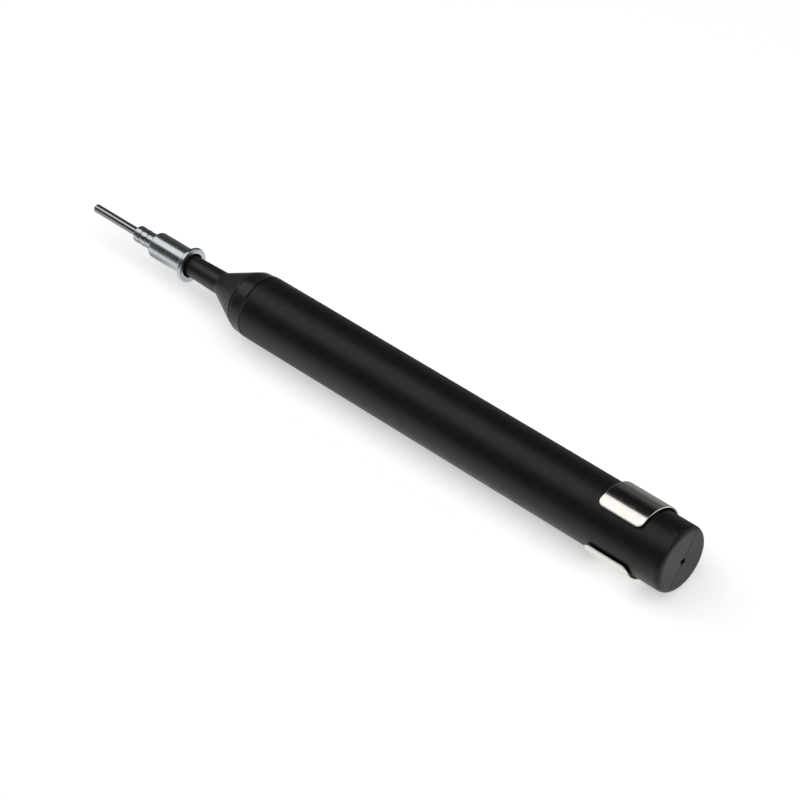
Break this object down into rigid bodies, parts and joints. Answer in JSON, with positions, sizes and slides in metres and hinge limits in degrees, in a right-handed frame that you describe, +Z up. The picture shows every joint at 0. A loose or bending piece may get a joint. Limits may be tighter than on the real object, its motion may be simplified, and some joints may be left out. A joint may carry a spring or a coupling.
{
  "type": "vacuum pick up pen",
  "caption": "Pen shaped hand tool: a press button squeezes a hidden bladder so that a blunt metal needle lifts small parts by suction; a spring clip holds it in a pocket.",
  "frame": {"origin": "centre of the needle's open end", "axes": "+X runs back along the pen's axis to its tail; +Z is up as the pen lies on a table with its clip's arm touching it"},
  "size_m": [0.1472, 0.0161, 0.014],
  "materials": {
    "barrel_plastic": "black moulded plastic, faint satin sheen",
    "nozzle_plastic": "black moulded plastic, satin",
    "button_plastic": "black moulded plastic, satin",
    "soft_rubber": "soft silicone tube",
    "plug_plastic": "moulded plastic",
    "ring_steel": "plain steel",
    "clip_steel": "bright spring steel",
    "hub_nickel": "bright nickel plate",
    "needle_steel": "drawn steel tube"
  },
  "bodies": {
    "handle": {"front_shell": "barrel_plastic", "back_shell": "barrel_plastic", "nozzle": "nozzle_plastic", "bladder": "soft_rubber", "bladder_plug": "plug_plastic", "front_clamp_ring": "ring_steel", "rear_clamp_ring": "ring_steel", "pocket_clip": "clip_steel"},
    "button": {"press_button": "button_plastic"},
    "tip": {"needle_hub": "hub_nickel", "needle": "needle_steel"}
  },
  "joints": [
    {"name": "button_press", "type": "slide", "parent": "handle", "child": "button", "axis": [0, -0.695, 0.719], "range_m": [0, 0.0018], "stiffness_N_per_m": 800, "deforming": ["bladder"]},
    {"name": "tip_pull", "type": "slide", "parent": "handle", "child": "tip", "axis": [-1, 0, 0], "range_m": [0, 0.012]}
  ]
}
